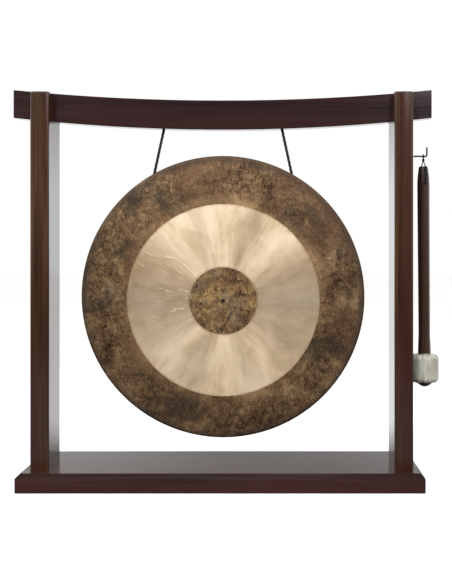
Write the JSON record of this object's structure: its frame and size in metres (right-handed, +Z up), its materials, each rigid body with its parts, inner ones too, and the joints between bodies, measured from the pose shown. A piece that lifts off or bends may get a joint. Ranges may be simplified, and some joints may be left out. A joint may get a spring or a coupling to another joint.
{
  "type": "tam tam gong on a stand",
  "caption": "Bronze gong with a turned-back rim, hung by two cords from the curved beam of a dark wooden stand, with a cloth-headed mallet on a wire hook.",
  "frame": {"origin": "middle of the underside of the base board, on the surface that it stands on", "axes": "+Z up, +X along the base board to the right as seen from the front, where the mallet hangs, +Y to the back; the gong faces -Y"},
  "size_m": [0.6152, 0.156, 0.5653],
  "materials": {
    "base_wood": "gloss lacquer over reddish brown stain",
    "post_wood": "satin lacquer over dark brown stain",
    "beam_wood": "satin lacquer over very dark brown stain",
    "bronze": "hammered bronze: dark patina with one polished ring",
    "gong_cord": "twisted black nylon cord",
    "loop_cord": "thin waxed black cord",
    "screw_steel": "zinc plated",
    "hook_wire": "dark bronze plated wire",
    "handle_wood": "turned reddish brown wood, satin",
    "felt": "rolled wool felt",
    "cloth": "cream cotton cloth",
    "thread": "waxed cream thread"
  },
  "bodies": {
    "stand": {"base_board": "base_wood", "left_post": "post_wood", "right_post": "post_wood", "crossbeam": "beam_wood", "post_screws": "screw_steel", "beam_screws": "screw_steel", "mallet_hook": "hook_wire", "left_cord_anchor": "gong_cord", "right_cord_anchor": "gong_cord"},
    "cords": {"left_cord": "gong_cord", "right_cord": "gong_cord"},
    "gong": {"gong_plate": "bronze", "left_cord_tail": "gong_cord", "right_cord_tail": "gong_cord"},
    "mallet_loop": {"mallet_loop": "loop_cord"},
    "mallet": {"mallet_handle": "handle_wood", "mallet_core": "felt", "mallet_cover": "cloth", "mallet_thread": "thread"}
  },
  "joints": [
    {"name": "cord_swing", "type": "hinge", "parent": "stand", "child": "cords", "pos_m": [0, 0, 0.50947], "axis": [1, 0, 0], "range_deg": [-20, 20]},
    {"name": "gong_tilt", "type": "hinge", "parent": "cords", "child": "gong", "pos_m": [0, 0, 0.4428], "axis": [1, 0, 0], "range_deg": [-15, 15]},
    {"name": "loop_swing", "type": "hinge", "parent": "stand", "child": "mallet_loop", "pos_m": [0.2914, 0, 0.4705], "axis": [1, 0, 0], "range_deg": [-35, 35]},
    {"name": "mallet_tilt", "type": "hinge", "parent": "mallet_loop", "child": "mallet", "pos_m": [0.2914, 0, 0.4294], "axis": [0.2079, -0.9781, 0], "range_deg": [0, 25]}
  ]
}
